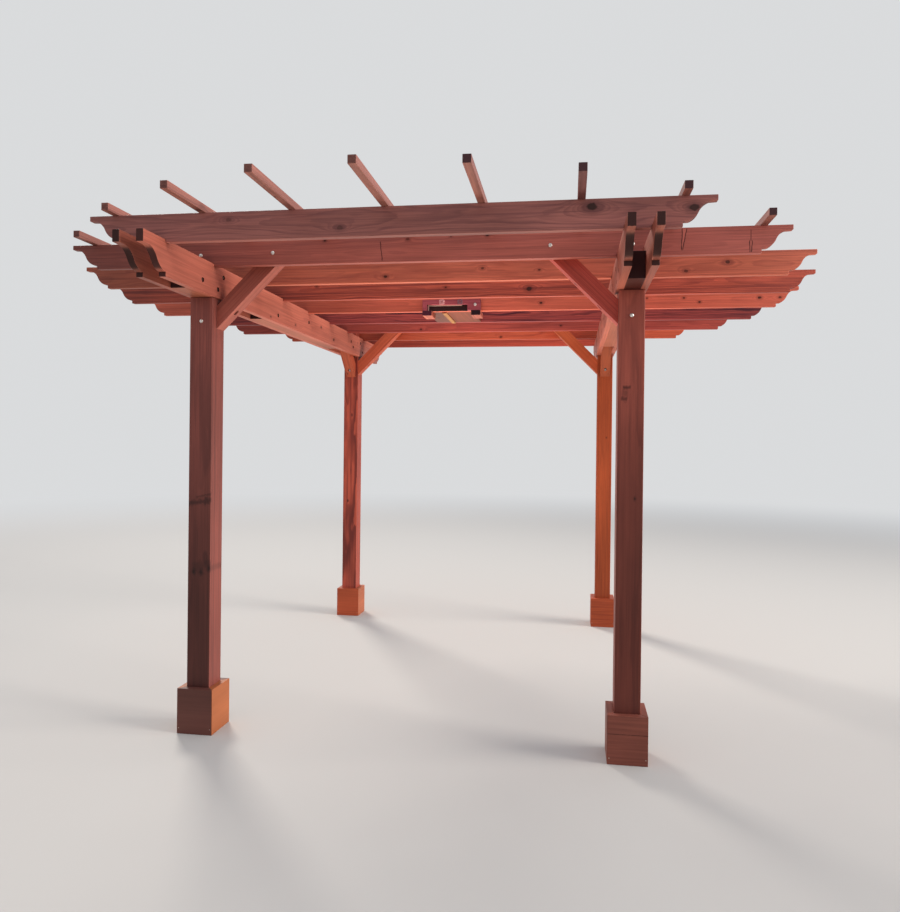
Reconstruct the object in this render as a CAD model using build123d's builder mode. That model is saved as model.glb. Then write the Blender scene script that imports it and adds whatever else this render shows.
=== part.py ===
from build123d import *
import math
import os

# A free standing timber pergola with a round roof outline.
# +X runs along the rafters, +Y along the beams, +Z is up, and the ground is at zero.

# Driving dimensions in mm
post_size = 139.7  # side of a square post
tenon_size = 88.9  # side of the tenon on top of a post, between the beam boards
plank_t = 38.1  # thickness of every beam board, rafter and base board
post_spacing_x = 2472.0  # between post centres, along the rafters
post_spacing_y = 2860.0  # between post centres, along the beams
shoulder_z = 2553.0  # top of the post shoulders, where the beams rest
base_height = 264.0  # height of the boards round the foot of a post
joint_width = 1.6  # open joint line between two base boards
joint_depth = 2.5
beam_height = 190.0
beam_length = 4400.0
beam_nub_height = 62.0  # square tip of a beam board
beam_nub_length = 54.0
beam_curve_end = 182.0  # where the curve of the beam end stops, from the tip
beam_foot_height = 25.0  # small step under the end of the curve
beam_foot_end = 195.0
rafter_height = 145.0
rafter_count = 9
roof_overhang = 650.0  # how far the round roof outline runs past the corner posts
notch_depth = 15.0  # how far a rafter sits down over the beam boards
notch_play = 0.8  # free space on each side of a beam board in its notch
nub_height = 26.0  # square tip of a rafter
nub_length = 39.0
curve_end = 130.0  # where the curve of the rafter end stops, from the tip
foot_height = 26.0
foot_end = 157.0
curve_swell = 0.105  # how far each half of the curve bulges, as a part of its chord
slat_size = 38.1
slat_count = 9
slat_spacing = 477.2
tenon_rise = 300.0  # tenon top above the shoulder
brace_depth = 95.0  # brace section, seen from the side
brace_width = 88.9  # brace section, across; just fits between the beam boards
rafter_brace_foot = 177.0  # lowest point of a rafter brace, below the beams
rafter_brace_rise = 300.0  # its level top cut, above the underside of the beams
packer_size = 70.0  # packer between a rafter brace and its rafter
packer_height = 72.0  # middle of the packer above the underside of the rafters
beam_brace_foot = 203.0  # lowest point of a beam brace, below the beams
beam_brace_rise = 140.0  # its level top cut, above the underside of the beams
bolt_bore = 25.0  # counterbore for a bolt head in the sloping underside of a brace
bolt_seat = 38.0  # wood left between a counterbore and the post
rafter_brace_bolt = 77.0  # bolt heights, below the beams
beam_brace_bolt = 140.0
nut_bore = 28.0  # counterbore for a nut in the inner face of a beam
nut_bore_depth = 12.0
# bolts through a beam near a post: how far past the middle of the post, and how high above the underside
post_bolts = ((206.0, 70.0), (31.0, 52.0), (-35.0, 136.0), (-273.0, 69.0), (-335.0, 112.0))
# bolts through the middle block: how far from the middle of the beam, and how high
block_bolts = ((-595.0, 55.0), (0.0, 106.0), (595.0, 55.0))
block_height = 139.7  # blocks between the beam boards
end_block_reach = 250.0  # how far an end block stands out past the post
middle_block_length = 1540.0
mount_left = -222.0  # wooden mounting frame on the middle rafter
mount_right = 228.0
mount_top = 83.0  # heights above the underside of the rafters
opening_left = -186.0  # opening in the lower side of the yoke
opening_right = 127.0
opening_top = 47.0
cleat_width = 72.0  # flat planks under the rafter that carry the panel
cleat_reach = 105.0  # past the middle of the rafter
plate_t = 9.0  # dark plate inside the opening
plate_play = 1.0
panel_left = -205.0
panel_right = 165.0
panel_t = 19.0
batten_x = -64.0
batten_width = 22.0
batten_t = 9.0

# Derived dimensions
post_x = post_spacing_x / 2
post_y = post_spacing_y / 2
base_outer = post_size + 2 * plank_t
# the tips of rafters and slats lie on this circle
roof_radius = math.hypot(post_x, post_y) + roof_overhang
rafter_z = shoulder_z + beam_height - notch_depth
rafter_top = rafter_z + rafter_height
board_offset = tenon_size / 2 + plank_t / 2
# the second rafter from each end lies against the tenons
rafter_spacing = (post_y + tenon_size / 2 + plank_t / 2) / 3
brace_slope = brace_depth * math.sqrt(2)
corners = {
    "front_left": (-1, -1),
    "front_right": (1, -1),
    "back_left": (-1, 1),
    "back_right": (1, 1),
}

os.makedirs("parts", exist_ok=True)


def save(builder, name):
    builder.part.label = name
    export_step(builder.part, "parts/" + name + ".step")


def bulge_point(start, end, swell):
    # middle of the chord, pushed square to it
    dx = end[0] - start[0]
    dy = end[1] - start[1]
    return ((start[0] + end[0]) / 2 - dy * swell, (start[1] + end[1]) / 2 + dx * swell)


def scroll_points(half, top, height, nub_h, nub_l, curve_x, foot_h, foot_x):
    # Points round one half of a board seen from the side, with the scroll cut at its end.
    low = top - height
    start = (half - nub_l, top - nub_h - 2)
    end = (half - curve_x, low + foot_h + 1)
    middle = ((start[0] + end[0]) / 2, (start[1] + end[1]) / 2)
    tip = [(0, top), (half, top), (half, top - nub_h), start]
    cove = [start, bulge_point(start, middle, -curve_swell), middle]
    swell = [middle, bulge_point(middle, end, curve_swell), end]
    foot = [end, (half - foot_x, low + foot_h), (half - foot_x, low), (0, low), (0, top)]
    return tip, cove, swell, foot


# Posts: one square timber each, cut down to a tenon above the shoulder
for corner, (side_x, side_y) in corners.items():
    with BuildPart() as post:
        with BuildSketch(Plane.XY):
            with Locations((side_x * post_x, side_y * post_y)):
                Rectangle(post_size, post_size)
        extrude(amount=shoulder_z)
        with BuildSketch(Plane.XY.offset(shoulder_z)):
            with Locations((side_x * post_x, side_y * post_y)):
                Rectangle(tenon_size, tenon_size)
        extrude(amount=tenon_rise)
    save(post, "post_" + corner)

# Base boards: a box of four boards round the foot of each post
for corner, (side_x, side_y) in corners.items():
    with BuildPart() as base:
        with BuildSketch(Plane.XY):
            with Locations((side_x * post_x, side_y * post_y)):
                Rectangle(base_outer, base_outer)
                Rectangle(post_size, post_size, mode=Mode.SUBTRACT)
        extrude(amount=base_height)
        with BuildSketch(Plane.XY):
            with Locations((side_x * post_x, side_y * post_y)):
                with GridLocations(base_outer, post_size, 2, 2):
                    Rectangle(2 * joint_depth, joint_width)
        extrude(amount=base_height, mode=Mode.SUBTRACT)
    save(base, "base_boards_" + corner)

# Beams: two boards on edge on each side of the tenons, with a scroll at both ends
bolt_places = [(reach, shoulder_z + height) for reach, height in block_bolts]
for side_y in (-1, 1):
    bolt_places += [(side_y * (post_y + past), shoulder_z + height) for past, height in post_bolts]
for side_name, side_x in {"left": -1, "right": 1}.items():
    for place_name, place in {"outer": 1, "inner": -1}.items():
        face_x = side_x * (post_x + place * board_offset) - plank_t / 2
        tip, cove, swell, foot = scroll_points(beam_length / 2, shoulder_z + beam_height, beam_height,
                                               beam_nub_height, beam_nub_length, beam_curve_end,
                                               beam_foot_height, beam_foot_end)
        with BuildPart() as beam:
            with BuildSketch(Plane.YZ.offset(face_x)):
                with BuildLine():
                    Polyline(*tip)
                    ThreePointArc(*cove)
                    ThreePointArc(*swell)
                    Polyline(*foot)
                make_face()
                mirror(about=Plane.YZ)
            extrude(amount=plank_t)
            if place_name == "inner":
                # the nuts sit in counterbores on the side that faces the middle
                with BuildSketch(Plane.YZ.offset(side_x * (post_x - board_offset - plank_t / 2))):
                    with Locations(*bolt_places):
                        Circle(nut_bore / 2)
                extrude(amount=side_x * nut_bore_depth, mode=Mode.SUBTRACT)
        save(beam, "beam_" + side_name + "_" + place_name)

# Blocks between the two boards of a beam: one past each post and a long one in the middle
block_start = post_y + tenon_size / 2
block_end = post_y + post_size / 2 + end_block_reach
block_spans = {
    "front": (-block_end, -block_start),
    "middle": (-middle_block_length / 2, middle_block_length / 2),
    "back": (block_start, block_end),
}
for side_name, side_x in {"left": -1, "right": 1}.items():
    for place_name, (start_y, end_y) in block_spans.items():
        with BuildPart() as block:
            with BuildSketch(Plane.XY.offset(shoulder_z)):
                with Locations((side_x * post_x, (start_y + end_y) / 2)):
                    Rectangle(tenon_size, end_y - start_y)
            extrude(amount=block_height)
        save(block, "beam_block_" + side_name + "_" + place_name)

# Rafters: planks on edge across both beams, notched over the beam boards
for number in range(rafter_count):
    rafter_y = (number - (rafter_count - 1) / 2) * rafter_spacing
    half_length = math.sqrt(roof_radius**2 - rafter_y**2)
    tip, cove, swell, foot = scroll_points(half_length, rafter_top, rafter_height, nub_height, nub_length,
                                           curve_end, foot_height, foot_end)
    with BuildPart() as rafter:
        with BuildSketch(Plane.XZ.offset(-rafter_y - plank_t / 2)):
            with BuildLine():
                Polyline(*tip)
                ThreePointArc(*cove)
                ThreePointArc(*swell)
                Polyline(*foot)
            make_face()
            mirror(about=Plane.YZ)
            for side_x in (-1, 1):
                for place in (-1, 1):
                    with Locations((side_x * (post_x + place * board_offset), rafter_z)):
                        Rectangle(plank_t + 2 * notch_play, 2 * notch_depth, mode=Mode.SUBTRACT)
        extrude(amount=plank_t)
    save(rafter, "rafter_" + str(number + 1))

# Top slats: square sticks laid across the rafters
for number in range(slat_count):
    slat_x = (number - (slat_count - 1) / 2) * slat_spacing
    half_length = math.sqrt(roof_radius**2 - slat_x**2)
    with BuildPart() as slat:
        with BuildSketch(Plane.XY.offset(rafter_top)):
            with Locations((slat_x, 0)):
                Rectangle(slat_size, 2 * half_length)
        extrude(amount=slat_size)
    save(slat, "top_slat_" + str(number + 1))

# Rafter braces: from the inner side of a post up to the rafter beside the tenons
for corner, (side_x, side_y) in corners.items():
    post_face = post_x - post_size / 2
    inner_y = side_y * (post_y - post_size / 2)
    outer_y = inner_y + side_y * brace_width
    rafter_y = side_y * (post_y + tenon_size / 2)
    foot_z = shoulder_z - rafter_brace_foot
    top_z = shoulder_z + rafter_brace_rise
    top_reach = top_z - foot_z
    with BuildPart() as brace:
        with BuildSketch(Plane.XZ.offset(-max(inner_y, outer_y))):
            with BuildLine():
                Polyline((side_x * post_face, foot_z), (side_x * (post_face - top_reach), top_z),
                         (side_x * (post_face - top_reach + brace_slope), top_z),
                         (side_x * post_face, foot_z + brace_slope), close=True)
            make_face()
        extrude(amount=brace_width)
        packer_x = post_face - (rafter_z + packer_height - foot_z) + brace_slope / 2
        with BuildSketch(Plane.XZ.offset(-max(outer_y, rafter_y))):
            with Locations((side_x * packer_x, rafter_z + packer_height)):
                Rectangle(packer_size, packer_size)
        extrude(amount=abs(rafter_y - outer_y))
        with BuildSketch(Plane.YZ.offset(side_x * (post_face - bolt_seat))):
            with Locations(((inner_y + outer_y) / 2, shoulder_z - rafter_brace_bolt)):
                Circle(bolt_bore / 2)
        extrude(amount=-side_x * rafter_brace_foot, mode=Mode.SUBTRACT)
    save(brace, "rafter_brace_" + corner)

# Beam braces: short struts from a post up between the two boards of its beam
for corner, (side_x, side_y) in corners.items():
    post_face = post_y - post_size / 2
    foot_z = shoulder_z - beam_brace_foot
    top_z = shoulder_z + beam_brace_rise
    top_reach = top_z - foot_z
    with BuildPart() as brace:
        with BuildSketch(Plane.YZ.offset(side_x * post_x - brace_width / 2)):
            with BuildLine():
                Polyline((side_y * post_face, foot_z), (side_y * (post_face - top_reach), top_z),
                         (side_y * (post_face - top_reach + brace_slope), top_z),
                         (side_y * post_face, foot_z + brace_slope), close=True)
            make_face()
        extrude(amount=brace_width)
        with BuildSketch(Plane.XZ.offset(-side_y * (post_face - bolt_seat))):
            with Locations((side_x * post_x, shoulder_z - beam_brace_bolt)):
                Circle(bolt_bore / 2)
        extrude(amount=side_y * beam_brace_foot, mode=Mode.SUBTRACT)
    save(brace, "beam_brace_" + corner)

# Mounting frame for a ceiling fan: a yoke on the front of the middle rafter, with two flat cleats below it
front_y = -plank_t / 2
with BuildPart() as yoke:
    with BuildSketch(Plane.XZ.offset(-front_y)):
        with Locations(((mount_left + mount_right) / 2, rafter_z + mount_top / 2)):
            Rectangle(mount_right - mount_left, mount_top)
        with Locations(((opening_left + opening_right) / 2, rafter_z + opening_top / 2)):
            Rectangle(opening_right - opening_left, opening_top, mode=Mode.SUBTRACT)
    extrude(amount=plank_t)
    with BuildSketch(Plane.XY.offset(rafter_z)):
        for cleat_x in (mount_left + cleat_width / 2, mount_right - cleat_width / 2):
            with Locations((cleat_x, (front_y - plank_t + cleat_reach) / 2)):
                Rectangle(cleat_width, cleat_reach - front_y + plank_t)
    extrude(amount=-plank_t)
save(yoke, "fan_mount_yoke")

# Dark plate on the rafter, inside the opening of the yoke
with BuildPart() as plate:
    with BuildSketch(Plane.XZ.offset(-front_y)):
        with Locations(((opening_left + opening_right) / 2, rafter_z + (opening_top - plate_play) / 2)):
            Rectangle(opening_right - opening_left - 2 * plate_play, opening_top - plate_play)
    extrude(amount=plate_t)
save(plate, "fan_mount_plate")

# Panel between the middle rafter and the next one, lying on the cleats of the yoke
with BuildPart() as panel:
    panel_start = plank_t / 2
    panel_end = rafter_spacing - plank_t / 2
    with BuildSketch(Plane.XY.offset(rafter_z)):
        with Locations(((panel_left + panel_right) / 2, (panel_start + panel_end) / 2)):
            Rectangle(panel_right - panel_left, panel_end - panel_start)
    extrude(amount=panel_t)
    with BuildSketch(Plane.XY.offset(rafter_z)):
        with Locations((batten_x, (panel_start + panel_end) / 2)):
            Rectangle(batten_width, panel_end - panel_start)
    extrude(amount=-batten_t)
save(panel, "fan_mount_panel")
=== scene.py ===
import math
import random

import bmesh
import bpy
from mathutils import Matrix, Vector


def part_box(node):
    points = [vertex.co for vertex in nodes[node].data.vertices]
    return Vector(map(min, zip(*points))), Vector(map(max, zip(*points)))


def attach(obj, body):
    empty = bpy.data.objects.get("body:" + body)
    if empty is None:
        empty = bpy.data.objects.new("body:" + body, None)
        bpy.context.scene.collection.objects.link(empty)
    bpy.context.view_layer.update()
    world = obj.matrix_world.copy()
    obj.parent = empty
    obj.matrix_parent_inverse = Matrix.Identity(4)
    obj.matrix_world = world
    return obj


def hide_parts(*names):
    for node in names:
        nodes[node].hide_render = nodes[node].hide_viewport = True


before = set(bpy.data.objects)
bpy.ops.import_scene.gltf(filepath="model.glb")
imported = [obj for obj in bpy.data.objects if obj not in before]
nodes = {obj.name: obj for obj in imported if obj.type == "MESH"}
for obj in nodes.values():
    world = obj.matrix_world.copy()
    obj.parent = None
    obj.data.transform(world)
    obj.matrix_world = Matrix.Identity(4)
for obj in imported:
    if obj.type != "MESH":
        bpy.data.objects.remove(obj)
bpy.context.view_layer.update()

# Posts
# Four square redwood timbers, planed, with eased edges and a red brown stain. Each stands on the ground and
# is cut down to a tenon at the top, where the beam boards sit on its shoulders. Carriage bolts with a dome
# head go through the post and hold the beam brace behind it.
ALONG_X, ALONG_Y, ALONG_Z = Vector((1, 0, 0)), Vector((0, 1, 0)), Vector((0, 0, 1))
corners = ("front_left", "front_right", "back_left", "back_right")


def new_group(name, takes, gives):
    # an empty shader node group with named sockets
    tree = bpy.data.node_groups.new(name, "ShaderNodeTree")
    kinds = {"colour": "NodeSocketColor", "vector": "NodeSocketVector", "number": "NodeSocketFloat"}
    for label, kind in takes:
        tree.interface.new_socket(label, in_out="INPUT", socket_type=kinds[kind])
    for label, kind in gives:
        tree.interface.new_socket(label, in_out="OUTPUT", socket_type=kinds[kind])
    given = tree.nodes.new("NodeGroupInput")
    result = tree.nodes.new("NodeGroupOutput")
    return tree, given.outputs, result.inputs


def put(tree, kind, inputs=None, **settings):
    # one node, with each input set to a value or joined to another node's socket
    node = tree.nodes.new(kind)
    for key, value in settings.items():
        setattr(node, key, value)
    for key, value in (inputs or {}).items():
        if isinstance(value, bpy.types.NodeSocket):
            tree.links.new(value, node.inputs[key])
        else:
            node.inputs[key].default_value = value
    return node


def maths(tree, operation, first, second=0.0, third=0.0):
    return put(tree, "ShaderNodeMath", {0: first, 1: second, 2: third}, operation=operation).outputs[0]


def vectors(tree, operation, first, second=(0, 0, 0)):
    node = put(tree, "ShaderNodeVectorMath", {0: first, 1: second}, operation=operation)
    return node.outputs["Value"] if operation in ("DOT_PRODUCT", "LENGTH") else node.outputs["Vector"]


def parts(tree, vector):
    # the sockets X, Y and Z of a vector
    return put(tree, "ShaderNodeSeparateXYZ", {0: vector}).outputs


def object_place(tree):
    # where the shaded point lies in its object
    return parts(tree, put(tree, "ShaderNodeTexCoord").outputs["Object"])


def squares(tree, first, second):
    # the sum of two squares
    return maths(tree, "ADD", maths(tree, "POWER", first, 2.0), maths(tree, "POWER", second, 2.0))


def ramp(tree, value, low, high, start=0.0, end=1.0):
    # a smooth step between two limits
    inputs = {"Value": value, "From Min": low, "From Max": high, "To Min": start, "To Max": end}
    return put(tree, "ShaderNodeMapRange", inputs, interpolation_type="SMOOTHSTEP").outputs[0]


def mixed(tree, factor, first, second, blend_type="MIX"):
    inputs = {0: factor, 6: first, 7: second}
    node = put(tree, "ShaderNodeMix", inputs, data_type="RGBA", blend_type=blend_type, clamp_factor=True)
    return node.outputs[2]


def shaded(tree, colour, amount):
    # a colour made darker or lighter by a number
    inputs = {0: colour, "Scale": amount}
    return put(tree, "ShaderNodeVectorMath", inputs, operation="SCALE").outputs["Vector"]


def stretched_noise(tree, place, stretch, detail=2.0, roughness=0.5):
    inputs = {"Vector": vectors(tree, "MULTIPLY", place, stretch), "Scale": 1.0, "Detail": detail,
              "Roughness": roughness}
    return put(tree, "ShaderNodeTexNoise", inputs).outputs


def drift(tree, place, stretch, reach):
    # a soft move sideways to the grain
    noise = stretched_noise(tree, place, stretch)["Color"]
    return vectors(tree, "MULTIPLY", vectors(tree, "SUBTRACT", noise, (0.5, 0.5, 0.5)), (0, reach, reach))


# where a point lies in its board: x along the grain, y across the width, z through the thickness
board_place, given, result = new_group(
    "Board place", [("Centre", "vector"), ("Grain", "vector"), ("Across", "vector")],
    [("Position", "vector"), ("End Grain", "number")])
coordinates = put(board_place, "ShaderNodeTexCoord").outputs
from_centre = vectors(board_place, "SUBTRACT", coordinates["Object"], given["Centre"])
through = vectors(board_place, "CROSS_PRODUCT", given["Grain"], given["Across"])
measures = [vectors(board_place, "DOT_PRODUCT", from_centre, way)
            for way in (given["Grain"], given["Across"], through)]
position = put(board_place, "ShaderNodeCombineXYZ", dict(enumerate(measures))).outputs[0]
board_place.links.new(position, result["Position"])
facing = vectors(board_place, "DOT_PRODUCT", coordinates["Normal"], given["Grain"])
end_grain = ramp(board_place, maths(board_place, "ABSOLUTE", facing), 0.3, 0.62)
board_place.links.new(end_grain, result["End Grain"])

# one knot: its dark core, the halo round it, and how far it pushes the growth rings aside
knot, given, result = new_group(
    "Knot", [("Position", "vector"), ("Place", "vector"), ("Radius", "number"), ("Depth", "number"),
             ("Core", "number"), ("Halo", "number"), ("Bend", "number")],
    [("Core", "number"), ("Halo", "number"), ("Bend", "number")])
offset = parts(knot, vectors(knot, "SUBTRACT", given["Position"], given["Place"]))
along = maths(knot, "DIVIDE", offset["X"], given["Radius"])
across = maths(knot, "DIVIDE", offset["Y"], given["Radius"])
reach = maths(knot, "SQRT", squares(knot, maths(knot, "MULTIPLY", along, 0.72), across))
ragged = maths(knot, "SUBTRACT", stretched_noise(knot, given["Position"], (60, 60, 60))["Fac"], 0.5)
reach = maths(knot, "MULTIPLY_ADD", ragged, 0.6, reach)
for label, strength in (("Core", ramp(knot, reach, 0.65, 1.05, 1.0, 0.0)),
                        ("Halo", ramp(knot, reach, 0.9, 2.7, 1.0, 0.0))):
    strength = maths(knot, "MULTIPLY", strength, given["Depth"])
    knot.links.new(maths(knot, "MAXIMUM", strength, given[label]), result[label])
flat = squares(knot, maths(knot, "MULTIPLY", along, 0.24), maths(knot, "MULTIPLY", across, 0.6))
bend = maths(knot, "MULTIPLY", maths(knot, "EXPONENT", maths(knot, "MULTIPLY", flat, -1.0)),
             maths(knot, "MULTIPLY", given["Radius"], -1.7))
knot.links.new(maths(knot, "ADD", bend, given["Bend"]), result["Bend"])

# a mark across the face of a board: a spike knot, a scratch, a seam, or a run of stain with a paler middle
mark, given, result = new_group(
    "Dark mark", [("Position", "vector"), ("Place", "vector"), ("Lean", "number"), ("Length", "number"),
                  ("Width", "number"), ("Taper", "number"), ("Blur", "number"), ("Depth", "number"),
                  ("Line", "number"), ("Middle", "number")],
    [("Line", "number"), ("Middle", "number")])
offset = parts(mark, vectors(mark, "SUBTRACT", given["Position"], given["Place"]))
unsteady = maths(mark, "SUBTRACT", stretched_noise(mark, given["Position"], (50, 50, 50))["Fac"], 0.5)
sway = maths(mark, "MULTIPLY_ADD", given["Blur"], 1.6, 0.005)
aside = maths(mark, "MULTIPLY_ADD", offset["Y"], given["Lean"], offset["X"])
aside = maths(mark, "ABSOLUTE", maths(mark, "MULTIPLY_ADD", unsteady, sway, aside))
down = maths(mark, "DIVIDE", maths(mark, "MULTIPLY", offset["Y"], -1.0), given["Length"])
inside = maths(mark, "MULTIPLY", ramp(mark, down, -0.08, 0.0), ramp(mark, down, 0.92, 1.04, 1.0, 0.0))
narrowed = maths(mark, "SUBTRACT", 1.0, maths(mark, "MULTIPLY", down, given["Taper"]))
edge = maths(mark, "SUBTRACT", aside, maths(mark, "MULTIPLY", given["Width"], narrowed))
softness = maths(mark, "ADD", given["Blur"], 0.0034)
line = ramp(mark, maths(mark, "ABSOLUTE", edge), 0.0006, softness, 1.0, 0.0)
line = maths(mark, "MULTIPLY", maths(mark, "MULTIPLY", line, inside), given["Depth"])
middle = maths(mark, "MULTIPLY", ramp(mark, edge, -0.002, 0.0, 1.0, 0.0), inside)
mark.links.new(maths(mark, "MAXIMUM", line, given["Line"]), result["Line"])
mark.links.new(maths(mark, "MAXIMUM", middle, given["Middle"]), result["Middle"])

# stained redwood: growth rings round a pith beside the board, dark streaks, fibre, end grain and worn edges
redwood, given, result = new_group(
    "Stained redwood",
    [("Position", "vector"), ("End Grain", "number"), ("Half Size", "vector"), ("Pith", "vector"),
     ("Ring Width", "number"), ("Seed", "number"), ("Core", "number"), ("Halo", "number"), ("Bend", "number"),
     ("Light Wood", "colour"), ("Dark Wood", "colour"), ("Rings", "number"), ("Streaks", "number"),
     ("Ends", "number"), ("Wear", "number")],
    [("Color", "colour"), ("Roughness", "number"), ("Height", "number")])
moved = put(redwood, "ShaderNodeCombineXYZ", {axis: given["Seed"] for axis in range(3)}).outputs[0]
moved = vectors(redwood, "ADD", given["Position"], moved)
bent = vectors(redwood, "ADD", drift(redwood, moved, (1.3, 6, 6), 0.055),
               drift(redwood, moved, (7, 45, 45), 0.006))
bent = vectors(redwood, "SUBTRACT", vectors(redwood, "ADD", given["Position"], bent), given["Pith"])
bent = vectors(redwood, "MULTIPLY", bent, (0, 1, 1))
radius = maths(redwood, "ADD", vectors(redwood, "LENGTH", bent), given["Bend"])
rings = maths(redwood, "DIVIDE", radius, given["Ring Width"])
ring_tone = put(redwood, "ShaderNodeTexWhiteNoise", {"W": maths(redwood, "FLOOR", rings)},
                noise_dimensions="1D").outputs["Value"]
part = maths(redwood, "FRACT", rings)
late = maths(redwood, "MULTIPLY", ramp(redwood, part, 0.2, 0.88), ramp(redwood, part, 0.93, 1.0, 1.0, 0.0))
late = maths(redwood, "MULTIPLY", late, maths(redwood, "MULTIPLY_ADD", ring_tone, 0.7, 0.3))
late = maths(redwood, "MULTIPLY", late, given["Rings"])
# broad bands follow the rings, fine streaks follow the grain
waves = stretched_noise(redwood, moved, (0.7, 9, 9), 3.0)["Fac"]
band = maths(redwood, "MULTIPLY_ADD", radius, 22.0, waves)
band = put(redwood, "ShaderNodeTexNoise", {"W": band, "Scale": 3.0, "Detail": 2.0},
           noise_dimensions="1D").outputs["Fac"]
streak = ramp(redwood, stretched_noise(redwood, moved, (0.9, 46, 46), 5.0, 0.6)["Fac"], 0.47, 0.68)
streak = maths(redwood, "MAXIMUM", streak, ramp(redwood, band, 0.5, 0.72))
streak = maths(redwood, "MULTIPLY", streak, given["Streaks"])
fibre = stretched_noise(redwood, moved, (9, 420, 420))["Fac"]
cloud = stretched_noise(redwood, moved, (1.1, 4, 4), 3.0)["Fac"]
colour = mixed(redwood, late, given["Light Wood"], given["Dark Wood"])
colour = mixed(redwood, streak, colour, given["Dark Wood"])
colour = shaded(redwood, colour, ramp(redwood, cloud, 0.25, 0.75, 0.82, 1.18))
colour = shaded(redwood, colour, maths(redwood, "MULTIPLY_ADD", fibre, 0.2, 0.9))
strand = ramp(redwood, stretched_noise(redwood, moved, (2.0, 120, 120))["Fac"], 0.3, 0.7, -1.0, 1.0)
strand = maths(redwood, "MULTIPLY", strand, maths(redwood, "MULTIPLY_ADD", given["Streaks"], 0.15, 0.03))
colour = shaded(redwood, colour, maths(redwood, "ADD", strand, 1.0))
# knots and end grain take up more stain
colour = mixed(redwood, maths(redwood, "MULTIPLY", given["Halo"], 0.5), colour,
               shaded(redwood, given["Dark Wood"], 0.6))
colour = mixed(redwood, given["Core"], colour, (0.028, 0.008, 0.006, 1))
end_colour = shaded(redwood, mixed(redwood, 0.5, colour, given["Dark Wood"]), 0.42)
colour = mixed(redwood, maths(redwood, "MULTIPLY", given["End Grain"], given["Ends"]), colour, end_colour)
# a point is near an edge where the second of its three distances to the faces is small
gaps = vectors(redwood, "ABSOLUTE", given["Position"])
gaps = parts(redwood, vectors(redwood, "SUBTRACT", given["Half Size"], gaps))
edge = maths(redwood, "MINIMUM", maths(redwood, "MAXIMUM", gaps["X"], gaps["Y"]), gaps["Z"])
edge = maths(redwood, "MAXIMUM", maths(redwood, "MINIMUM", gaps["X"], gaps["Y"]), edge)
edge = ramp(redwood, edge, 0.001, 0.006, 1.0, 0.0)
rubbed = ramp(redwood, stretched_noise(redwood, moved, (9, 60, 60), 3.0)["Fac"], 0.3, 0.62)
edge = maths(redwood, "MULTIPLY", maths(redwood, "MULTIPLY", edge, rubbed), given["Wear"])
colour = mixed(redwood, edge, colour, shaded(redwood, given["Light Wood"], 1.15))
redwood.links.new(colour, result["Color"])
rough = maths(redwood, "MULTIPLY_ADD", given["End Grain"], 0.2, 0.46)
redwood.links.new(maths(redwood, "MULTIPLY_ADD", fibre, 0.14, rough), result["Roughness"])
height = maths(redwood, "MULTIPLY_ADD", late, -0.4, maths(redwood, "MULTIPLY", fibre, 0.6))
redwood.links.new(maths(redwood, "SUBTRACT", height, given["Core"]), result["Height"])


def board_frame(board, grain, across):
    # middle and half size of a board, measured along its grain, across it and through it
    axes = (grain, across, grain.cross(across))
    spans = [[point.co.dot(axis) for point in board.data.vertices] for axis in axes]
    middles = [(min(span) + max(span)) / 2 for span in spans]
    halves = [(max(span) - min(span)) / 2 for span in spans]
    centre = sum((axis * middle for axis, middle in zip(axes, middles)), Vector())
    return centre, Vector(halves)


def chained(tree, group, carried, rows):
    # a row of like groups, each of which adds to what the one before it gives
    before = None
    for inputs in rows:
        if before:
            inputs.update({label: before.outputs[label] for label in carried})
        before = put(tree, "ShaderNodeGroup", inputs, node_tree=group)
    return {label: before.outputs[label] for label in carried} if before else {}


def base_colour(tree):
    # the socket that gives a finished material its colour
    return tree.nodes["Principled BSDF"].inputs["Base Color"].links[0].from_socket


def repaint(tree, colour):
    tree.links.new(colour, tree.nodes["Principled BSDF"].inputs["Base Color"])


def bumped(tree, height, strength, distance):
    # a small relief on the surface
    bump = put(tree, "ShaderNodeBump", {"Height": height, "Strength": strength, "Distance": distance})
    tree.links.new(bump.outputs["Normal"], tree.nodes["Principled BSDF"].inputs["Normal"])


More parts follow.
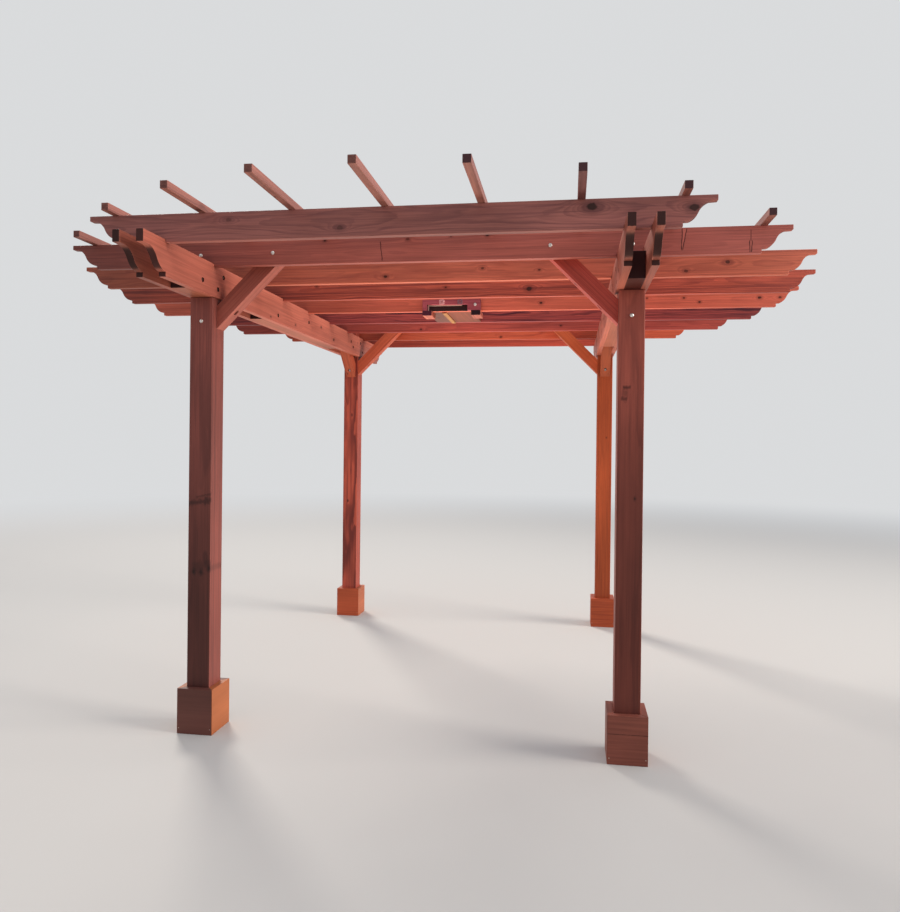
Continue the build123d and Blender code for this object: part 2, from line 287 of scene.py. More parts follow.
def timber(name, board, grain, across, tones, seed, knots=None, marks=(), rings=0.35, streaks=0.55,
           ring=0.007, ends=0.85):
    # the finish of one board; tones are its light and its dark wood
    chance = random.Random(seed)
    light, dark = tones
    centre, half = board_frame(board, grain, across)
    if knots is None:
        count = 1 + int(half[0] * 1.2)
        knots = [(chance.uniform(-0.9, 0.9) * half[0], chance.uniform(-0.75, 0.75) * half[1],
                  chance.uniform(0.005, 0.014), chance.uniform(0.4, 1.0)) for _ in range(count)]
    material = bpy.data.materials.new(name)
    material.use_nodes = True
    tree = material.node_tree
    place = put(tree, "ShaderNodeGroup", {"Centre": centre, "Grain": grain, "Across": across},
                node_tree=board_place)
    position = place.outputs["Position"]
    knotted = chained(tree, knot, ("Core", "Halo", "Bend"), [
        {"Position": position, "Place": (x, y, 0), "Radius": size, "Depth": depth}
        for x, y, size, depth in knots])
    side = chance.choice((-1, 1))
    pith = (0, chance.uniform(-0.4, 0.4) * half[1], side * (half[2] + chance.uniform(0.03, 0.09)))
    wood = put(tree, "ShaderNodeGroup", {
        "Position": position, "End Grain": place.outputs["End Grain"], "Half Size": half, "Pith": pith,
        "Ring Width": ring, "Seed": seed * 3.71, "Light Wood": (*light, 1), "Dark Wood": (*dark, 1),
        "Rings": rings, "Streaks": streaks, "Ends": ends, "Wear": 0.35, **knotted}, node_tree=redwood)
    colour = wood.outputs["Color"]
    shape = ("Lean", "Length", "Width", "Taper", "Blur", "Depth")
    marked = chained(tree, mark, ("Line", "Middle"), [
        {"Position": position, "Place": (x, top, 0), **dict(zip(shape, values))}
        for x, top, *values in marks])
    if marked:
        # the marks lie on the face toward the front only
        depth = maths(tree, "MULTIPLY", parts(tree, position)["Z"], -grain.cross(across).y)
        front = maths(tree, "GREATER_THAN", depth, 0.9 * half[2])
        for label, paint in (("Middle", [1.15 * c for c in light]), ("Line", [0.36 * c for c in dark])):
            colour = mixed(tree, maths(tree, "MULTIPLY", marked[label], front), colour, (*paint, 1))
    repaint(tree, colour)
    bumped(tree, wood.outputs["Height"], strength=0.35, distance=0.0008)
    shader = tree.nodes["Principled BSDF"]
    tree.links.new(wood.outputs["Roughness"], shader.inputs["Roughness"])
    shader.inputs["Specular IOR Level"].default_value = 0.26
    return material


def paint_light_and_shade_along(material, axis, low, high, start, end, side=None):
    # painted light and shade: the tone changes along an axis from one value to another, and side gives the
    # faces toward X their own painted tone
    tree = material.node_tree
    tone = ramp(tree, object_place(tree)[axis], low, high, start, end)
    if side:
        normal = parts(tree, put(tree, "ShaderNodeTexCoord").outputs["Normal"])
        sideways = ramp(tree, maths(tree, "ABSOLUTE", normal["X"]), 0.4, 0.6)
        tone = maths(tree, "MULTIPLY_ADD", sideways, maths(tree, "SUBTRACT", side, tone), tone)
    repaint(tree, shaded(tree, base_colour(tree), tone))


def finish(board, material, rounding):
    # planed timber has slightly rounded edges
    board.data.materials.clear()
    board.data.materials.append(material)
    board.modifiers.new("weld", "WELD").merge_threshold = 0.0001
    flat_faces = board.modifiers.new("flat_faces", "DECIMATE")
    flat_faces.decimate_type = "DISSOLVE"
    flat_faces.angle_limit = math.radians(1)
    eased = board.modifiers.new("eased_edges", "BEVEL")
    eased.width = rounding
    eased.segments = 2
    eased.limit_method = "ANGLE"
    eased.angle_limit = math.radians(35)
    board.modifiers.new("even_shading", "WEIGHTED_NORMAL").keep_sharp = True


# (height above the middle of the post, place across it, radius, depth) of the knots
post_knots = {
    "front_right": [(0.566, -0.030, 0.012, 0.3), (-0.002, 0.026, 0.006, 0.7)],
    "front_left": [(-0.484, -0.033, 0.009, 0.7), (-0.486, 0.012, 0.009, 0.6), (-0.463, 0.062, 0.008, 0.7),
                   (-0.401, 0.039, 0.010, 0.18)],
    "back_left": [(0.55, 0.014, 0.007, 0.6), (-0.30, -0.02, 0.006, 0.8)],
    "back_right": [(0.35, 0.02, 0.006, 0.7)],
}
# (height, start across, lean, length, width, taper, blur, depth) of the spike knots
post_marks = {
    "front_right": [(0.598, -0.003, 0.0, 0.042, 0, 0, 0.010, 0.7),
                    (0.535, -0.022, 0.1, 0.032, 0, 0, 0.011, 0.6)],
    "front_left": [(-0.063, 0.075, -0.15, 0.15, 0, 0, 0.026, 0.65),
                   (-0.027, 0.075, -0.2, 0.10, 0, 0, 0.010, 0.45),
                   (-0.445, 0.075, -0.1, 0.12, 0, 0, 0.05, 0.35)],
}
# light wood, dark wood, and how strong the growth rings and the dark streaks are; the front posts are darker,
# partly as painted shade
post_tones = {
    "front_left": ((0.195, 0.053, 0.042), (0.058, 0.017, 0.017), 0.2, 0.4),
    "front_right": ((0.185, 0.043, 0.030), (0.078, 0.016, 0.013), 0.2, 0.35),
    "back_left": ((0.44, 0.082, 0.050), (0.11, 0.018, 0.016), 0.85, 0.6),
    "back_right": ((0.37, 0.070, 0.021), (0.21, 0.035, 0.012), 0.2, 0.5),
}
# two heights, the tone of the front and back faces below the one and above the other, and the tone of the
# sides: painted shade darkens the front and back faces toward the ground, painted light brightens them higher
# up and lightens the sides
post_painted_light_and_shade = {"front_left": (0.7, 2.3, 0.42, 1.25, 1.12), "front_right": (1.3, 2.5, 0.76, 1.8, 1.4),
             "back_left": (0.1, 1.9, 0.9, 1.1, 1.0), "back_right": (0.1, 1.9, 0.95, 1.0, 1.0)}
for number, corner in enumerate(corners):
    post = nodes["post_" + corner]
    light, dark, rings, streaks = post_tones[corner]
    stain = timber("post stain " + corner, post, ALONG_Z, ALONG_X, (light, dark), seed=11 + number,
                   knots=post_knots[corner], marks=post_marks.get(corner, ()), rings=rings, streaks=streaks,
                   ring=0.015)
    # painted shade toward the foot, painted light higher up and on the sides
    paint_light_and_shade_along(stain, "Z", *post_painted_light_and_shade[corner])
    finish(post, stain, rounding=0.004)

# galvanised steel: pale zinc with duller spangles
steel, given, result = new_group(
    "Galvanised steel", [("Clean", "colour"), ("Dull", "colour"), ("Scale", "number")],
    [("Color", "colour"), ("Roughness", "number"), ("Height", "number")])
spangle = put(steel, "ShaderNodeTexNoise", {
    "Vector": put(steel, "ShaderNodeTexCoord").outputs["Object"], "Scale": given["Scale"],
    "Detail": 4.0}).outputs["Fac"]
zinc = mixed(steel, ramp(steel, spangle, 0.38, 0.62), given["Clean"], given["Dull"])
steel.links.new(zinc, result["Color"])
steel.links.new(maths(steel, "MULTIPLY_ADD", spangle, 0.3, 0.28), result["Roughness"])
steel.links.new(spangle, result["Height"])


def metal(name, clean, dull, scale):
    material = bpy.data.materials.new(name)
    material.use_nodes = True
    tree = material.node_tree
    skin = put(tree, "ShaderNodeGroup", {"Clean": (*clean, 1), "Dull": (*dull, 1), "Scale": scale},
               node_tree=steel)
    repaint(tree, skin.outputs["Color"])
    bumped(tree, skin.outputs["Height"], strength=0.2, distance=0.0002)
    shader = tree.nodes["Principled BSDF"]
    tree.links.new(skin.outputs["Roughness"], shader.inputs["Roughness"])
    shader.inputs["Metallic"].default_value = 0.85
    return material


def side_faces(bm, first, second):
    # the faces between two rings with as many points
    for i in range(len(first)):
        bm.faces.new((first[i - 1], first[i], second[i], second[i - 1]))


def stack(bm, sides, rings):
    # a closed solid built up from rings given as (radius, height), in millimetres
    angles = [2 * math.pi * step / sides for step in range(sides)]
    loops = [[bm.verts.new((radius / 1000 * math.cos(a), radius / 1000 * math.sin(a), height / 1000))
              for a in angles] for radius, height in rings]
    for lower, upper in zip(loops, loops[1:]):
        side_faces(bm, lower, upper)
    bm.faces.new(reversed(loops[0]))
    bm.faces.new(loops[-1])


def dome_bolt(bm):
    stack(bm, 24, [(10.6, -1), (10.9, 0.2), (10.4, 1.9), (9.0, 3.6), (6.8, 5.0), (4.0, 5.9), (1.2, 6.2)])


def new_piece(name, bm):
    # the finished mesh as an object in the scene
    model = bpy.data.meshes.new(name)
    bm.to_mesh(model)
    piece = bpy.data.objects.new(name, model)
    bpy.context.collection.objects.link(piece)
    return piece


def fasteners(name, build, places, material):
    # copies of one fastener, each turned a little and standing on its surface, as one mesh
    bm = bmesh.new()
    for number, (point, way) in enumerate(places):
        built = len(bm.verts)
        build(bm)
        bm.verts.ensure_lookup_table()
        turn = Vector(way).to_track_quat("Z", "Y").to_matrix().to_4x4()
        spin = Matrix.Rotation(number * 1.3, 4, "Z")
        bmesh.ops.transform(bm, matrix=Matrix.Translation(point) @ turn @ spin, verts=bm.verts[built:])
    piece = new_piece(name, bm)
    piece.data.materials.append(material)
    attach(piece, "root")


galvanised = metal("galvanised steel", (0.80, 0.79, 0.76), (0.62, 0.60, 0.57), 160)
post_low, post_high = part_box("post_back_right")
post_x, post_y = (post_low.x + post_high.x) / 2, (post_low.y + post_high.y) / 2
half_post = (post_high.x - post_low.x) / 2
beam_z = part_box("beam_left_inner")[0].z
# the bolts lie this far below the beams
post_bolt_drop = 0.14
fasteners("post_bolts", dome_bolt,
          [((side_x * post_x, side_y * post_high.y, beam_z - post_bolt_drop), (0, side_y, 0))
           for side_x in (-1, 1) for side_y in (-1, 1)], galvanised)

# Base boards
# A box of four short redwood planks round the foot of each post, with the grain lying flat. They are mitred
# and nailed, and the open mitres show as dark lines at the corners.

# light and dark wood of the boards that face the front and the back, the same of the two side boards, and
# how strong the growth rings and the streaks are; the front and back boards of the front left box are much
# darker than its sides as painted shade
base_tones_with_painted_shade = {
    "front_left": (((0.115, 0.040, 0.032), (0.065, 0.021, 0.018)),
                   ((0.38, 0.117, 0.044), (0.25, 0.072, 0.027)), 0.05, 0.1),
    "front_right": (((0.22, 0.064, 0.045), (0.11, 0.028, 0.021)),
                    ((0.24, 0.064, 0.040), (0.13, 0.030, 0.020)), 0.35, 0.3),
    "back_left": (((0.40, 0.076, 0.030), (0.25, 0.044, 0.019)),
                  ((0.42, 0.120, 0.055), (0.27, 0.070, 0.030)), 0.12, 0.25),
    "back_right": (((0.42, 0.078, 0.028), (0.20, 0.030, 0.014)),
                   ((0.40, 0.080, 0.030), (0.25, 0.050, 0.020)), 0.4, 0.4),
}
mitre_gap = 0.001
clearance = 0.0003
nail_inset, nail_height = 0.011, 0.034


def mitred_board(name, outer, inner, height):
    # the board toward -Y of a box round the origin, with a narrow gap at both mitres
    foot = [(-outer + mitre_gap, -outer), (outer - mitre_gap, -outer),
            (inner - mitre_gap, -inner), (-inner + mitre_gap, -inner)]
    bm = bmesh.new()
    lower, upper = [[bm.verts.new((x, y, z)) for x, y in foot] for z in (0, height)]
    bm.faces.new(reversed(lower))
    bm.faces.new(upper)
    side_faces(bm, lower, upper)
    return new_piece(name, bm)


def nail_head(bm):
    stack(bm, 14, [(2.9, -0.6), (3.1, 0.1), (2.7, 0.5), (1.2, 0.2)])


nail_places = []
for number, corner in enumerate(corners):
    low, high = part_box("base_boards_" + corner)
    middle = Vector(((low.x + high.x) / 2, (low.y + high.y) / 2, 0))
    facing_tones, side_tones, rings, streaks = base_tones_with_painted_shade[corner]
    for turn, side in enumerate(("front", "right", "back", "left")):
        name = "base_%s_%s" % (corner, side)
        board = mitred_board(name, (high.x - low.x) / 2, half_post + clearance, high.z)
        board.data.transform(Matrix.Translation(middle) @ Matrix.Rotation(math.pi / 2 * turn, 4, "Z"))
        grain, tones = (ALONG_Y, side_tones) if turn % 2 else (ALONG_X, facing_tones)
        # a dark seam of late wood runs across the front right box
        seam = [(0, 0.13 * high.z, 0, 0.0045, 0, 0, 0.4, 0.75)] if name == "base_front_right_front" else []
        stain = timber("stain " + name, board, grain, ALONG_Z, tones, seed=31 + 4 * number + turn, knots=[],
                       marks=seam, rings=rings, streaks=streaks, ring=0.02, ends=0)
        finish(board, stain, rounding=0.0015)
        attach(board, "root")
        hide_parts("base_boards_" + corner)
    for x in (low.x + nail_inset, high.x - nail_inset):
        nail_places += [((x, low.y, nail_height), (0, -1, 0)), ((x, high.y, nail_height), (0, 1, 0))]
dulled = metal("dulled steel", (0.46, 0.34, 0.29), (0.32, 0.22, 0.18), 160)
fasteners("base_nails", nail_head, nail_places, dulled)

# Beams
# Two redwood planks on edge, one on each side of the tenons, with a scroll sawn at both ends. Blocks fill
# the gap between them. Galvanised bolts with sunk nuts hold the pair together.

# light and dark wood
beam_tones = ((0.42, 0.122, 0.084), (0.22, 0.052, 0.041))
# the tone of the front ends, which hang out past the posts: painted shade
beam_front_painted_shade = {"left_outer": 0.6, "left_inner": 1.0, "right_inner": 0.72, "right_outer": 0.72}
# (place along the beam, height above its middle, radius, depth) of the knots
beam_knots = {"left_inner": [(-0.721, -0.072, 0.007, 0.8), (-0.275, -0.055, 0.009, 0.8),
                             (0.277, 0.018, 0.010, 0.9), (1.30, 0.03, 0.006, 0.8)]}


def place_node(tree):
    # the node that says where a point lies in its board
    return next(node for node in tree.nodes if getattr(node, "node_tree", None) == board_place)


def darken_ends(material, tone, mask=1.0):
    # the end grain turns to a darker tone: deep stain, and at some calls painted shade as well
    tree = material.node_tree
    amount = maths(tree, "MULTIPLY", place_node(tree).outputs["End Grain"], mask)
    repaint(tree, mixed(tree, amount, base_colour(tree), tone))


for number, (name, front_shade) in enumerate(beam_front_painted_shade.items()):
    beam = nodes["beam_" + name]
    stain = timber("beam stain " + name, beam, ALONG_Y, ALONG_Z, beam_tones, seed=51 + number,
                   knots=beam_knots.get(name), rings=0.25, streaks=0.4)
    darken_ends(stain, (0.052, 0.014, 0.012, 1))
    # painted shade toward the front ends
    paint_light_and_shade_along(stain, "Y", low=-2.1, high=-1.5, start=front_shade, end=1.0)
    finish(beam, stain, rounding=0.003)

# the front right block is painted darkest, as painted shade between the beam boards
block_painted_shade_tones = {"right_front": ((0.070, 0.013, 0.009), (0.045, 0.009, 0.007))}
usual_block = ((0.32, 0.095, 0.056), (0.17, 0.042, 0.029))
for number, name in enumerate(("left_front", "left_middle", "left_back",
                               "right_front", "right_middle", "right_back")):
    block = nodes["beam_block_" + name]
    stain = timber("block stain " + name, block, ALONG_Y, ALONG_Z, block_painted_shade_tones.get(name, usual_block),
                   seed=61 + number, rings=0.06, streaks=0.3)
    # the end faces between the beam boards are darkened for end grain and as painted shade
    darken_ends(stain, (0.030, 0.007, 0.008, 1))
    finish(block, stain, rounding=0.003)


def sunk_nut(bm):
    # washer, hexagon nut and bolt end, sitting in a counterbore
    stack(bm, 20, [(11, 0), (11.6, 0.4), (11.6, 1.6), (11, 2)])
    stack(bm, 6, [(7.6, 2), (8.1, 2.4), (8.1, 6.6), (7.4, 7.4)])
    stack(bm, 14, [(3.6, 7), (3.6, 10), (3.0, 10.8)])


# (place along the beam, height above its lower edge) of each bolt through a pair of beam boards, first in
# the middle, then past and short of the posts
beam_bolts = [(-0.595, 0.055), (0.0, 0.106), (0.595, 0.055)]
for side_y in (-1, 1):
    beam_bolts += [(side_y * (post_y + past), height) for past, height in (
        (0.206, 0.070), (0.031, 0.052), (-0.035, 0.136), (-0.273, 0.069), (-0.335, 0.112))]
weathered = metal("weathered steel", (0.17, 0.13, 0.12), (0.09, 0.06, 0.055), 200)
beam_bore_depth = 0.012
nut_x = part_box("beam_right_inner")[0].x + beam_bore_depth
head_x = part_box("beam_right_outer")[1].x
for side_name, side in (("left", -1), ("right", 1)):
    fasteners("beam_nuts_" + side_name, sunk_nut,
              [((side * nut_x, y, beam_z + z), (-side, 0, 0)) for y, z in beam_bolts], weathered)
    fasteners("beam_bolts_" + side_name, dome_bolt,
              [((side * head_x, y, beam_z + z), (side, 0, 0)) for y, z in beam_bolts], galvanised)

# Rafters
# Nine redwood planks on edge across both beams, notched over the beam boards, with a scroll at each end. The
# second one from each end is bolted to the tenons of the posts and to the braces.

# light wood, dark wood, and how strong the growth rings and the dark streaks are
rafter_tones = {
    1: ((0.31, 0.11, 0.094), (0.125, 0.040, 0.044), 0.4, 0.5),
    2: ((0.42, 0.112, 0.088), (0.20, 0.052, 0.048), 0.3, 0.45),
    3: ((0.56, 0.145, 0.086), (0.27, 0.056, 0.044), 0.35, 0.5),
    4: ((0.53, 0.106, 0.066), (0.16, 0.029, 0.028), 0.45, 0.75),
    5: ((0.61, 0.134, 0.082), (0.32, 0.058, 0.043), 0.3, 0.45),
    6: ((0.38, 0.067, 0.060), (0.08, 0.014, 0.025), 0.6, 1.0),
    7: ((0.43, 0.073, 0.055), (0.19, 0.030, 0.029), 0.35, 0.6),
    8: ((0.56, 0.106, 0.053), (0.29, 0.044, 0.026), 0.3, 0.5),
    9: ((0.46, 0.074, 0.046), (0.19, 0.029, 0.024), 0.35, 0.6),
}
# (place along the rafter, height above its middle, radius, depth) of the knots
rafter_knots = {
    1: [(1.003, 0.035, 0.020, 1), (1.469, 0.016, 0.018, 0.9), (-0.812, 0.031, 0.013, 0.4),
        (-0.227, -0.027, 0.013, 0.5)],
    2: [(-0.484, 0.058, 0.006, 0.8), (0.0, 0.054, 0.008, 0.6), (0.245, 0.06, 0.005, 0.5),
        (0.449, 0.064, 0.008, 1.0)],
    3: [(-0.26, -0.034, 0.010, 0.9), (0.361, 0.005, 0.008, 0.7), (0.714, -0.013, 0.007, 0.8),
        (1.591, -0.04, 0.010, 0.7), (1.832, 0.009, 0.012, 0.8)],
    4: [(0.624, -0.02, 0.016, 0.9), (0.04, 0.002, 0.006, 0.8), (-0.9, 0.03, 0.007, 0.6)],
    5: [(0.685, -0.019, 0.009, 0.9), (1.734, 0.0, 0.007, 0.8), (1.847, -0.031, 0.008, 0.9),
        (2.269, -0.006, 0.010, 0.9), (1.468, 0.003, 0.006, 0.7), (2.41, -0.006, 0.009, 0.8)],
    7: [(-0.454, -0.047, 0.008, 0.8), (0.823, -0.028, 0.008, 0.8)],
    8: [(1.874, 0.02, 0.008, 0.9), (0.236, -0.049, 0.009, 0.9)],
}
# (place along the rafter, top, lean, length, width, taper, blur, depth) of a scratch and two runs of stain
rafter_marks = {2: [(-0.158, 0.040, 0.12, 0.105, 0, 0, 0.001, 1),
                    (1.503, 0.062, -0.10, 0.112, 0.011, 0.80, 0.001, 1),
                    (1.842, 0.050, 0.0, 0.060, 0, 0, 0, 0.8),
                    (1.842, -0.008, 0.0, 0.060, 0.0065, 0.4, 0.001, 1)]}
# the tone of the left ends, darkened as painted shade; the rest of each rafter is painted a little lighter
rafter_left_end_shade = {1: 0.85, 2: 0.42, 5: 0.75}
usual_left_end_shade = 0.55
for number, (light, dark, rings, streaks) in rafter_tones.items():
    rafter = nodes["rafter_%d" % number]
    stain = timber("rafter stain %d" % number, rafter, ALONG_X, ALONG_Z, (light, dark), seed=71 + number,
                   knots=rafter_knots.get(number), marks=rafter_marks.get(number, ()), rings=rings,
                   streaks=streaks)
    # painted shade toward the left ends, painted light toward the middle
    paint_light_and_shade_along(stain, "X", low=-2.2, high=0.2, start=rafter_left_end_shade.get(number, usual_left_end_shade), end=1.06)
    finish(rafter, stain, rounding=0.0025)

# (place along the rafter, height above the lower edge of the beams) of the bolts to the tenons and braces
rafter_bolts = [(-post_x, 0.240), (-0.795, 0.245), (0.795, 0.245), (post_x, 0.240)]
rafter_face = -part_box("rafter_2")[0].y
fasteners("rafter_bolts", dome_bolt,
          [((x, side_y * rafter_face, beam_z + z), (0, side_y, 0)) for x, z in rafter_bolts
           for side_y in (-1, 1)], galvanised)

# Top slats
# Nine square redwood sticks laid across the rafters for shade and sawn square at the ends. One screw holds
# each of them at each rafter that it crosses.

# light and dark wood; the seventh took up more stain than the others
slat_tones = {7: ((0.160, 0.057, 0.056), (0.07, 0.024, 0.024))}
usual_slat = ((0.29, 0.112, 0.092), (0.12, 0.042, 0.038))
# from this slat on, the ends are dark
first_dark_end = 6


def screw_head(bm):
    stack(bm, 16, [(4.2, -0.5), (4.4, 0.15), (4.0, 0.3), (2.2, 0.25), (1.6, -0.3)])


crossings = []
for number in range(1, 10):
    slat = nodes["top_slat_%d" % number]
    stain = timber("slat stain %d" % number, slat, ALONG_Y, ALONG_X, slat_tones.get(number, usual_slat),
                   seed=91 + number, ends=0.6)
    if number >= first_dark_end:
        darken_ends(stain, (0.06, 0.022, 0.026, 1))
    finish(slat, stain, rounding=0.002)
    low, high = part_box("top_slat_%d" % number)
    for other in range(1, 10):
        rafter_low, rafter_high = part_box("rafter_%d" % other)
        x, y = (low.x + high.x) / 2, (rafter_low.y + rafter_high.y) / 2
        if low.y < y < high.y and rafter_low.x < x < rafter_high.x:
            crossings.append(((x, y, high.z), (0, 0, 1)))
fasteners("slat_screws", screw_head, crossings, weathered)

# Braces
# Square redwood struts at 45 degrees that keep the frame from racking. Each is bolted to its post through a
# counterbore, so that the nut sits below the surface.

# light and dark wood
brace_tones = {
    "front_left": ((0.31, 0.082, 0.060), (0.13, 0.030, 0.026)),
    "front_right": ((0.50, 0.078, 0.056), (0.21, 0.028, 0.025)),
    "back_left": ((0.58, 0.120, 0.058), (0.24, 0.042, 0.025)),
    "back_right": ((0.48, 0.098, 0.036), (0.22, 0.036, 0.018)),
}
# the back braces under the beams are darker
back_beam_brace_tone = 0.68
for number, corner in enumerate(corners):
    side_x = -1 if "left" in corner else 1
    side_y = -1 if "front" in corner else 1
    for kind, slope, across, first_seed in (("rafter", Vector((-side_x, 0, 1)), ALONG_Y, 111),
                                            ("beam", Vector((0, -side_y, 1)), ALONG_X, 121)):
        brace = nodes["%s_brace_%s" % (kind, corner)]
        shade = back_beam_brace_tone if kind == "beam" and side_y > 0 else 1.0
        tones = [[shade * c for c in tone] for tone in brace_tones[corner]]
        stain = timber("%s brace stain %s" % (kind, corner), brace, slope.normalized(), across, tones,
                       seed=first_seed + number, streaks=0.35)
        finish(brace, stain, rounding=0.003)

half_brace = 0.04445
# from the face of the post to the seat of the nut, and from the beams down to the bolt of a rafter brace
seat_distance, rafter_brace_bolt_drop = 0.038, 0.077
brace_seats = []
for side_x in (-1, 1):
    for side_y in (-1, 1):
        brace_seats += [
            ((side_x * (post_x - half_post - seat_distance), side_y * (post_y - half_post + half_brace),
              beam_z - rafter_brace_bolt_drop), (-side_x, 0, 0)),
            ((side_x * post_x, side_y * (post_y - half_post - seat_distance), beam_z - post_bolt_drop),
             (0, -side_y, 0))]
fasteners("brace_bolts", sunk_nut, brace_seats, galvanised)

# Fan mount
# A wooden yoke on the front of the middle rafter, with a plate in its opening that is painted near black as
# shade. One bolt and two bent steel straps hold it. Its two flat cleats carry a panel of two boards, with a
# batten over their joint.
mount_stains = {}
for kind, grain, across, tones in (
    ("yoke", ALONG_X, ALONG_Z, ((0.41, 0.082, 0.105), (0.17, 0.030, 0.048))),
    # the plate is near black: painted shade of the recess in the yoke's opening
    ("plate", ALONG_X, ALONG_Z, ((0.03, 0.01, 0.01), (0.02, 0.006, 0.006))),
    ("panel", ALONG_Y, ALONG_X, ((0.145, 0.052, 0.037), (0.09, 0.031, 0.024))),
):
    piece = nodes["fan_mount_" + kind]
    mount_stains[kind] = timber("fan mount %s stain" % kind, piece, grain, across, tones, seed=141)
    finish(piece, mount_stains[kind], rounding=0.0015)

# the cleats of the yoke run the other way, so their dark end grain faces the front
plate_low, plate_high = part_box("fan_mount_plate")
under_rafters = plate_low.z
tree = mount_stains["yoke"].node_tree
spot = object_place(tree)
below = maths(tree, "LESS_THAN", spot["Z"], under_rafters)
for label, above_way, below_way in (("Grain", ALONG_X, ALONG_Y), ("Across", ALONG_Z, ALONG_X)):
    way = put(tree, "ShaderNodeMix", {0: below, 4: above_way, 5: below_way}, data_type="VECTOR").outputs[1]
    tree.links.new(way, place_node(tree).inputs[label])
# the cleats are tinted warmer and more orange: painted light from below
cleat_painted_warm_light = (1.15, 1.6, 0.85, 1)
colour = base_colour(tree)
repaint(tree, mixed(tree, below, colour, mixed(tree, 1.0, colour, cleat_painted_warm_light, "MULTIPLY")))
# the right cleat's end is near black: painted shade
left_end, right_end_painted_shade = (0.075, 0.012, 0.030, 1), (0.018, 0.005, 0.010, 1)
on_the_right = maths(tree, "GREATER_THAN", spot["X"], 0.0)
darken_ends(mount_stains["yoke"], mixed(tree, on_the_right, left_end, right_end_painted_shade), below)

# a painted highlight runs as a pale line along the upper and the left edge of the near black plate, and stops
# short of its right end
tree = mount_stains["plate"].node_tree
spot = object_place(tree)
rim, fade = 0.008, 0.002
painted_highlight_line = maths(tree, "MAXIMUM", ramp(tree, spot["Z"], plate_high.z - rim, plate_high.z - rim + fade),
                  ramp(tree, spot["X"], plate_low.x + rim, plate_low.x + rim + fade, 1.0, 0.0))
short = ramp(tree, spot["X"], plate_high.x - 0.05, plate_high.x - 0.04, 1.0, 0.0)
painted_highlight_line = maths(tree, "MULTIPLY", painted_highlight_line, short)
repaint(tree, mixed(tree, painted_highlight_line, base_colour(tree), (0.95, 0.78, 0.68, 1)))

# the board on the right of the panel is warmer
tree = mount_stains["panel"].node_tree
batten_x = -0.064
warmth = (1.38, 0.95, 0.62, 1)
colour = base_colour(tree)
on_the_right = maths(tree, "GREATER_THAN", object_place(tree)["X"], batten_x)
repaint(tree, mixed(tree, on_the_right, colour, mixed(tree, 1.0, colour, warmth, "MULTIPLY")))

# a strip of yellow pine with planed off edges covers the joint of the two boards
half_batten, planed_off, end_gap = 0.018, 0.0025, 0.001
panel_low, panel_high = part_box("fan_mount_panel")
lowest = panel_low.z - clearance
profile = [(-half_batten, under_rafters), (-half_batten, lowest + planed_off),
           (-half_batten + planed_off, lowest), (half_batten - planed_off, lowest),
           (half_batten, lowest + planed_off), (half_batten, under_rafters)]
bm = bmesh.new()
near, far = [[bm.verts.new((batten_x + x, y, z)) for x, z in profile]
             for y in (panel_low.y + end_gap, panel_high.y - end_gap)]
bm.faces.new(near)
bm.faces.new(reversed(far))
side_faces(bm, far, near)
bmesh.ops.recalc_face_normals(bm, faces=bm.faces)
batten = new_piece("mount_batten", bm)
batten_tones = ((0.40, 0.185, 0.062), (0.27, 0.115, 0.042))
stain = timber("batten stain", batten, ALONG_Y, ALONG_X, batten_tones, seed=151, knots=[])
finish(batten, stain, rounding=0.001)
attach(batten, "root")

yoke_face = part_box("fan_mount_yoke")[0].y
bolt_place = (0.187, yoke_face, under_rafters + 0.043)
fasteners("mount_bolt", dome_bolt, [(bolt_place, (0, -1, 0))], galvanised)


def hanger():
    # a bent steel strap with a round hole, lapped over the front of the yoke
    half, high, cut, thickness = 0.020, 0.039, 0.006, 0.0022
    hole_radius, hole_height, steps = 0.0062, 0.021, 18
    outline = [(-half, 0.0), (half, 0.0), (half, high - cut), (half - cut, high), (-half + cut, high),
               (-half, high - cut)]
    angles = [2 * math.pi * step / steps for step in range(steps)]
    hole = [(hole_radius * math.cos(a), hole_height + hole_radius * math.sin(a)) for a in angles]
    bm = bmesh.new()
    layers = [[[bm.verts.new((x, y, depth)) for x, y in ring] for ring in (outline, hole)]
              for depth in (0.0, thickness)]
    for rings in layers:
        edges = [bm.edges.new((ring[i - 1], ring[i])) for ring in rings for i in range(len(ring))]
        bmesh.ops.triangle_fill(bm, use_beauty=True, edges=edges)
    for back, front in zip(*layers):
        side_faces(bm, back, front)
    bmesh.ops.recalc_face_normals(bm, faces=bm.faces)
    return bm


# one steel in a lit and a shaded copy: the left strap is paler as painted light, the right darker as painted
# shade
strap_painted_lit = metal("overpainted steel", (0.88, 0.45, 0.45), (0.66, 0.32, 0.33), 160)
strap_painted_shade = metal("stained steel", (0.34, 0.18, 0.22), (0.20, 0.09, 0.12), 200)
strap_height = 0.045
for name, x, skin in (("mount_hanger_left", -0.071, strap_painted_lit), ("mount_hanger_right", 0.070, strap_painted_shade)):
    strap = new_piece(name, hanger())
    upright = Matrix.Rotation(math.pi / 2, 4, "X")
    strap.data.transform(Matrix.Translation((x, yoke_face, under_rafters + strap_height)) @ upright)
    strap.data.materials.append(skin)
    strap.modifiers.new("rounded_edges", "BEVEL").width = 0.0004
    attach(strap, "root")

# Floor and light
# A plain pale floor that runs into a pale backdrop, under soft studio light. Two large lamps stand high up,
# and two low ones take the place of the light that the ground sends up to the undersides.
backdrop_colour = (0.70, 0.71, 0.72, 1)


def backdrop_rays(tree):
    # the rays that see the backdrop, straight or in a reflection
    seen = put(tree, "ShaderNodeLightPath").outputs
    return maths(tree, "MAXIMUM", maths(tree, "MAXIMUM", seen["Is Camera Ray"], seen["Is Glossy Ray"]),
                 seen["Is Transmission Ray"])


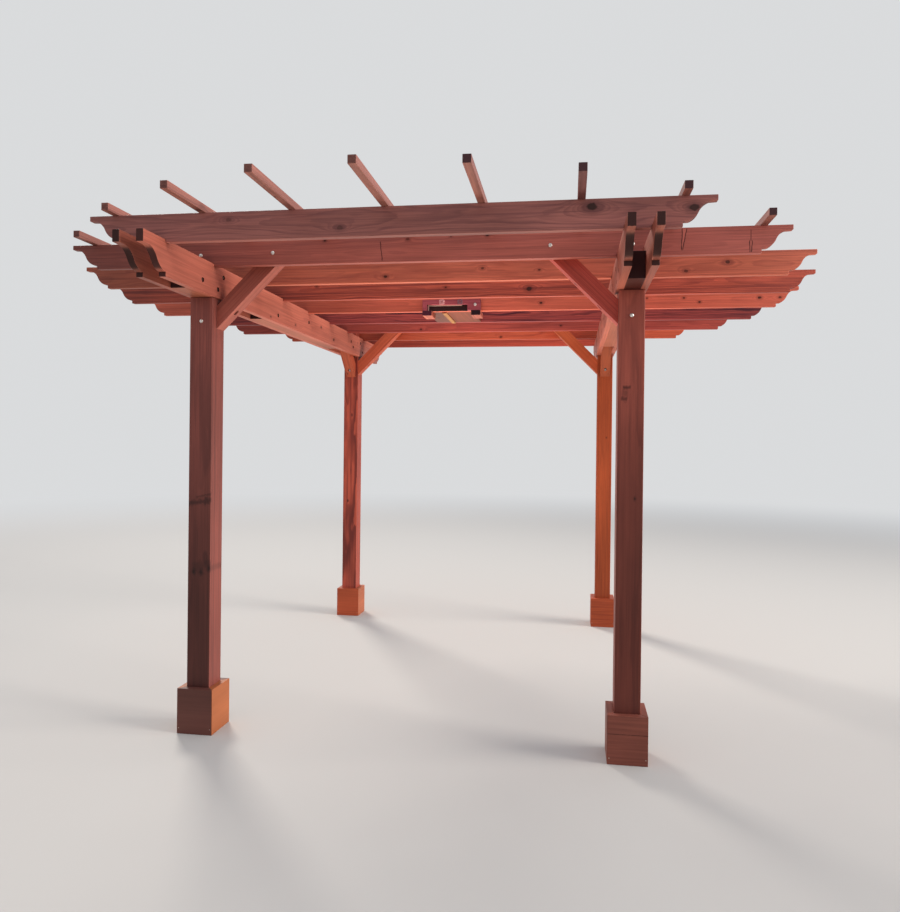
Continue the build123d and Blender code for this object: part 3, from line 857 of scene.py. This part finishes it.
bpy.ops.mesh.primitive_plane_add(size=56)
floor = bpy.context.object
floor.name = "floor"
pale = bpy.data.materials.new("pale floor")
pale.use_nodes = True
tree = pale.node_tree
shader = tree.nodes["Principled BSDF"]
shader.inputs["Roughness"].default_value = 0.9
shader.inputs["Specular IOR Level"].default_value = 0.1
eye = backdrop_rays(tree)
# far away, where the lamps don't reach, the floor is paler and then takes on the colour of the backdrop
away = vectors(tree, "LENGTH", put(tree, "ShaderNodeTexCoord").outputs["Object"])
seen = mixed(tree, ramp(tree, away, 9.0, 24.0), (0.52, 0.515, 0.51, 1), (0.90, 0.90, 0.90, 1))
tree.links.new(mixed(tree, eye, (0.54, 0.49, 0.42, 1), seen), shader.inputs["Base Color"])
far_glow = put(tree, "ShaderNodeEmission", {"Color": backdrop_colour}).outputs[0]
faded = maths(tree, "MULTIPLY", ramp(tree, away, 7.5, 19.0), eye)
surface = put(tree, "ShaderNodeMixShader", {0: faded, 1: shader.outputs[0], 2: far_glow}).outputs[0]
tree.links.new(surface, tree.nodes["Material Output"].inputs["Surface"])
floor.data.materials.append(pale)

world = bpy.data.worlds.new("studio")
world.use_nodes = True
bpy.context.scene.world = world
tree = world.node_tree
sky = mixed(tree, backdrop_rays(tree), (0.57, 0.595, 0.64, 1), backdrop_colour)
tree.links.new(sky, tree.nodes["Background"].inputs["Color"])


def area_lamp(name, place, turn, size, energy, spread, colour):
    # a square lamp that the camera doesn't see
    lamp = bpy.data.lights.new(name, "AREA")
    lamp.shape = "SQUARE"
    lamp.size = size
    lamp.energy = energy
    lamp.spread = math.radians(spread)
    lamp.color = colour
    holder = bpy.data.objects.new(name, lamp)
    holder.location = place
    holder.rotation_euler = turn
    holder.visible_camera = False
    bpy.context.collection.objects.link(holder)


middle_of_pergola = Vector((0, 0, 1.4))
for name, place, size, energy in (("soft key", (22.0, -2.5, 8.0), 11, 920),
                                  ("back light", (-17.0, 22.0, 24.0), 8, 1060)):
    toward = (middle_of_pergola - Vector(place)).to_track_quat("-Z", "Y").to_euler()
    area_lamp(name, place, toward, size, energy, spread=60, colour=(1.0, 0.92, 0.82))
upward = (math.pi, 0, 0)
for name, y, energy in (("floor glow", 0, 43), ("front glow", -3.0, 11)):
    area_lamp(name, (0.1, y, 0.02), upward, 1.6, energy, spread=115, colour=(1.0, 0.89, 0.74))

camera_data = bpy.data.cameras.new("camera")
camera_data.sensor_fit = "HORIZONTAL"
camera_data.sensor_width = 36
camera_data.lens = 28.115
camera_data.shift_x = -0.0251
camera_data.shift_y = -0.0127
camera = bpy.data.objects.new("camera", camera_data)
camera.location = (0.909, -5.3679, 1.7191)
camera.rotation_euler = [math.radians(angle) for angle in (89.816, -0.627, 7.824)]
bpy.context.collection.objects.link(camera)
bpy.context.scene.camera = camera
bpy.context.scene.view_settings.view_transform = "Standard"
